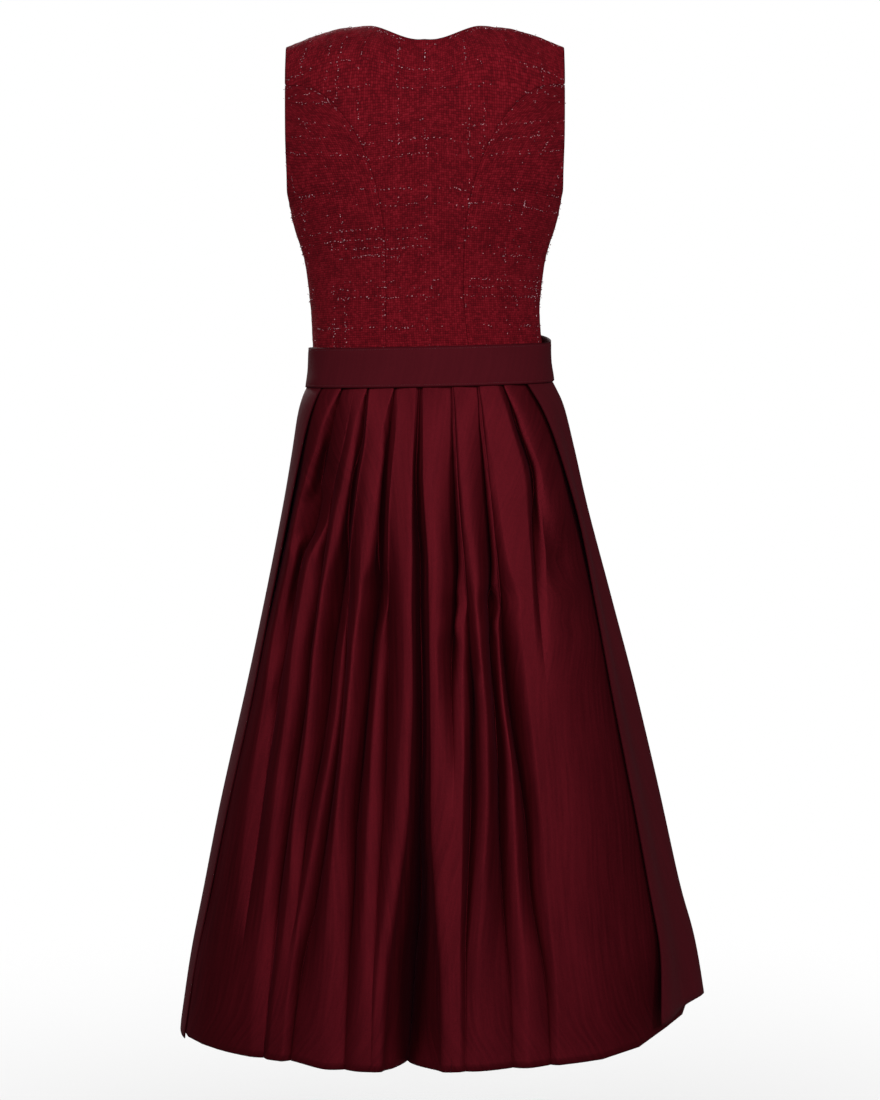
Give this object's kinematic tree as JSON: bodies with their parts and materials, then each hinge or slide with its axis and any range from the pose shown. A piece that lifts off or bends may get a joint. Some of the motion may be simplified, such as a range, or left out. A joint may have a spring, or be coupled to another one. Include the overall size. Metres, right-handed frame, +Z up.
{
  "type": "sleeveless dirndl dress with apron",
  "caption": "Sleeveless dirndl with a high-backed tweed bodice, a pleated satin skirt below the knee and an apron tied with a bow, worn form, hollow",
  "frame": {"origin": "midway between the middles of the two shoulder seams, where the wearer's shoulders carry the dress", "axes": "+Z up, +Y to the wearer's front, +X to the wearer's right; the back that the picture shows faces -Y"},
  "size_m": [0.644, 0.4985, 1.2238],
  "materials": {
    "bodice_tweed": "matte boucle tweed with glitter yarn",
    "skirt_satin": "soft satin sheen",
    "apron_cloth": "matte, faint sheen"
  },
  "bodies": {
    "root": {"bodice_back": "bodice_tweed", "bodice_side_back_left": "bodice_tweed", "bodice_side_back_right": "bodice_tweed", "bodice_side_front_left": "bodice_tweed", "bodice_side_front_right": "bodice_tweed", "bodice_front_left": "bodice_tweed", "bodice_front_right": "bodice_tweed", "skirt_back": "skirt_satin", "skirt_front": "skirt_satin", "apron_panel": "apron_cloth", "apron_waistband": "apron_cloth", "apron_tie_back": "apron_cloth", "apron_tie_front": "apron_cloth", "apron_knot": "apron_cloth", "apron_bow_loop_left": "apron_cloth", "apron_bow_loop_right": "apron_cloth", "apron_tail_left": "apron_cloth", "apron_tail_right": "apron_cloth"}
  },
  "joints": []
}
